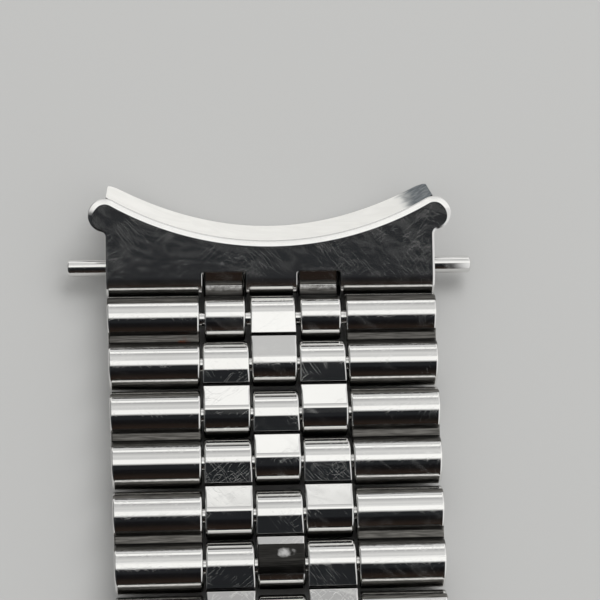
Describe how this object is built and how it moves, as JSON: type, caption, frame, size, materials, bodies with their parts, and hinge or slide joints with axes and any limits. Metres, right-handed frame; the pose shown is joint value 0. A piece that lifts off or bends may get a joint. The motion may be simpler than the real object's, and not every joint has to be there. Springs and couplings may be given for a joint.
{
  "type": "five link watch bracelet",
  "caption": "Flexible steel watch bracelet strand: columns of short links turn on cross pins, and a hollow curved end link with a sprung bar fixes it to the watch case.",
  "frame": {"origin": "middle of the bounding box, on the surface that the strand lies on, dial side down", "axes": "+X along the pins, +Y towards the watch case, +Z towards the wrist side"},
  "size_m": [0.0248, 0.032, 0.0042],
  "materials": {
    "end_steel": "polished, worn",
    "wall_steel": "satin",
    "bar_steel": "turned",
    "outer_steel": "polished, worn",
    "inner_steel": "polished, worn"
  },
  "bodies": {
    "end_link": {"end_link_skin": "end_steel", "end_link_wall": "wall_steel", "end_link_cheek_left": "end_steel", "end_link_cheek_right": "end_steel", "spring_bar_barrel": "bar_steel", "spring_bar_coil": "bar_steel"},
    "tip_left": {"spring_bar_tip_left": "bar_steel"},
    "tip_right": {"spring_bar_tip_right": "bar_steel"},
    "inner_1": {"inner_link_1_left": "inner_steel", "inner_link_1_right": "inner_steel"},
    "row_1": {"outer_link_1_left": "outer_steel", "outer_link_1_right": "outer_steel", "centre_link_1": "inner_steel", "link_pins_1": "bar_steel"},
    "inner_2": {"inner_link_2_left": "inner_steel", "inner_link_2_right": "inner_steel"},
    "row_2": {"outer_link_2_left": "outer_steel", "outer_link_2_right": "outer_steel", "centre_link_2": "inner_steel", "link_pins_2": "bar_steel"},
    "inner_3": {"inner_link_3_left": "inner_steel", "inner_link_3_right": "inner_steel"},
    "row_3": {"outer_link_3_left": "outer_steel", "outer_link_3_right": "outer_steel", "centre_link_3": "inner_steel", "link_pins_3": "bar_steel"},
    "inner_4": {"inner_link_4_left": "inner_steel", "inner_link_4_right": "inner_steel"},
    "row_4": {"outer_link_4_left": "outer_steel", "outer_link_4_right": "outer_steel", "centre_link_4": "inner_steel", "link_pins_4": "bar_steel"}
  },
  "joints": [
    {"name": "tip_left_press", "type": "slide", "parent": "end_link", "child": "tip_left", "axis": [1, 0, 0], "range_m": [0, 0.0016], "stiffness_N_per_m": 400, "deforming": ["spring_bar_coil"]},
    {"name": "tip_right_press", "type": "slide", "parent": "end_link", "child": "tip_right", "axis": [-1, 0, 0], "range_m": [0, 0.0016], "stiffness_N_per_m": 400, "deforming": ["spring_bar_coil"]},
    {"name": "bar_hinge", "type": "hinge", "parent": "end_link", "child": "inner_1", "pos_m": [0, 0.0102, 0.00123], "axis": [1, 0, 0], "range_deg": [-30, 12]},
    {"name": "pin_1_hinge", "type": "hinge", "parent": "inner_1", "child": "row_1", "pos_m": [0, 0.00669, 0.00123], "axis": [1, 0, 0], "range_deg": [-25, 12]},
    {"name": "pin_2_hinge", "type": "hinge", "parent": "row_1", "child": "inner_2", "pos_m": [0, 0.00372, 0.00123], "axis": [1, 0, 0], "range_deg": [-25, 12]},
    {"name": "pin_3_hinge", "type": "hinge", "parent": "inner_2", "child": "row_2", "pos_m": [0, 0.00058, 0.00123], "axis": [1, 0, 0], "range_deg": [-25, 12]},
    {"name": "pin_4_hinge", "type": "hinge", "parent": "row_2", "child": "inner_3", "pos_m": [0, -0.00239, 0.00123], "axis": [1, 0, 0], "range_deg": [-25, 12]},
    {"name": "pin_5_hinge", "type": "hinge", "parent": "inner_3", "child": "row_3", "pos_m": [0, -0.00553, 0.00123], "axis": [1, 0, 0], "range_deg": [-25, 12]},
    {"name": "pin_6_hinge", "type": "hinge", "parent": "row_3", "child": "inner_4", "pos_m": [0, -0.0085, 0.00123], "axis": [1, 0, 0], "range_deg": [-25, 12]},
    {"name": "pin_7_hinge", "type": "hinge", "parent": "inner_4", "child": "row_4", "pos_m": [0, -0.01164, 0.00123], "axis": [1, 0, 0], "range_deg": [-25, 12]}
  ]
}
